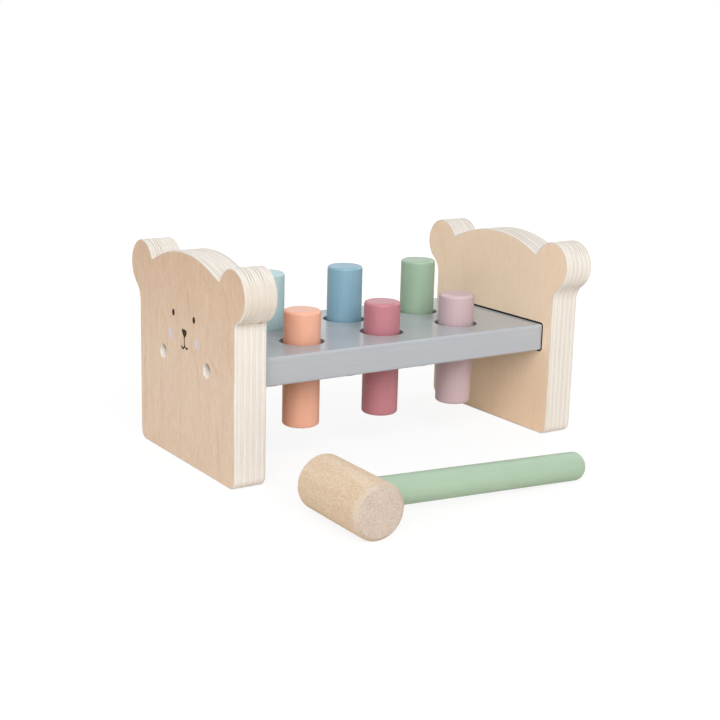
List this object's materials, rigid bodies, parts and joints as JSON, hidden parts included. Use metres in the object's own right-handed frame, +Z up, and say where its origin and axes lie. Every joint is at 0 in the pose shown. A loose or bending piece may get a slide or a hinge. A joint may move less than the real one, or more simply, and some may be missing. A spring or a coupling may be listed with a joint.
{
  "type": "hammer peg toy",
  "caption": "Toy pounding bench: painted pegs gripped by rubber rings slide through a plank between bear-headed plywood side panels; a separate wooden mallet lies in front.",
  "frame": {"origin": "middle of the whole set's footprint, bench and mallet, on the floor", "axes": "+X along the bench from the panel with the printed face to the plain one, -Y towards the mallet in front, +Z up"},
  "size_m": [0.221, 0.212, 0.1125],
  "materials": {
    "birch_plywood": "clear matt lacquer on birch plywood",
    "grey_blue_paint": "satin paint on a solid wood plank",
    "natural_beech": "sanded, clear matt lacquer",
    "handle_green_paint": "satin paint on a dowel",
    "zinc_plated_steel": "zinc plated",
    "black_rubber": "matt moulded rubber",
    "face_ink": "printed dark ink",
    "cheek_ink": "printed pale ink",
    "orange_paint": "satin paint on a dowel",
    "rose_paint": "satin paint on a dowel",
    "pink_paint": "satin paint on a dowel",
    "mint_paint": "satin paint on a dowel",
    "blue_paint": "satin paint on a dowel",
    "green_paint": "satin paint on a dowel"
  },
  "bodies": {
    "bench": {"bench_plank": "grey_blue_paint", "left_side_panel": "birch_plywood", "right_side_panel": "birch_plywood", "left_front_screw": "zinc_plated_steel", "left_back_screw": "zinc_plated_steel", "right_front_screw": "zinc_plated_steel", "right_back_screw": "zinc_plated_steel", "orange_grip_ring": "black_rubber", "rose_grip_ring": "black_rubber", "pink_grip_ring": "black_rubber", "mint_grip_ring": "black_rubber", "blue_grip_ring": "black_rubber", "green_grip_ring": "black_rubber"},
    "orange_peg": {"orange_peg": "orange_paint"},
    "rose_peg": {"rose_peg": "rose_paint"},
    "pink_peg": {"pink_peg": "pink_paint"},
    "mint_peg": {"mint_peg": "mint_paint"},
    "blue_peg": {"blue_peg": "blue_paint"},
    "green_peg": {"green_peg": "green_paint"},
    "mallet": {"mallet_head": "natural_beech", "mallet_handle": "handle_green_paint"}
  },
  "joints": [
    {"name": "orange_peg_slide", "type": "slide", "parent": "bench", "child": "orange_peg", "axis": [0, 0, 1], "range_m": [-0.017, 0.031]},
    {"name": "rose_peg_slide", "type": "slide", "parent": "bench", "child": "rose_peg", "axis": [0, 0, 1], "range_m": [-0.017, 0.031]},
    {"name": "pink_peg_slide", "type": "slide", "parent": "bench", "child": "pink_peg", "axis": [0, 0, 1], "range_m": [-0.017, 0.031]},
    {"name": "mint_peg_slide", "type": "slide", "parent": "bench", "child": "mint_peg", "axis": [0, 0, 1], "range_m": [-0.0309, 0.0171]},
    {"name": "blue_peg_slide", "type": "slide", "parent": "bench", "child": "blue_peg", "axis": [0, 0, 1], "range_m": [-0.0309, 0.0171]},
    {"name": "green_peg_slide", "type": "slide", "parent": "bench", "child": "green_peg", "axis": [0, 0, 1], "range_m": [-0.0309, 0.0171]},
    {"name": "mallet_lift", "type": "slide", "parent": "bench", "child": "mallet", "axis": [0, 0, 1], "range_m": [0, 0.2]}
  ]
}
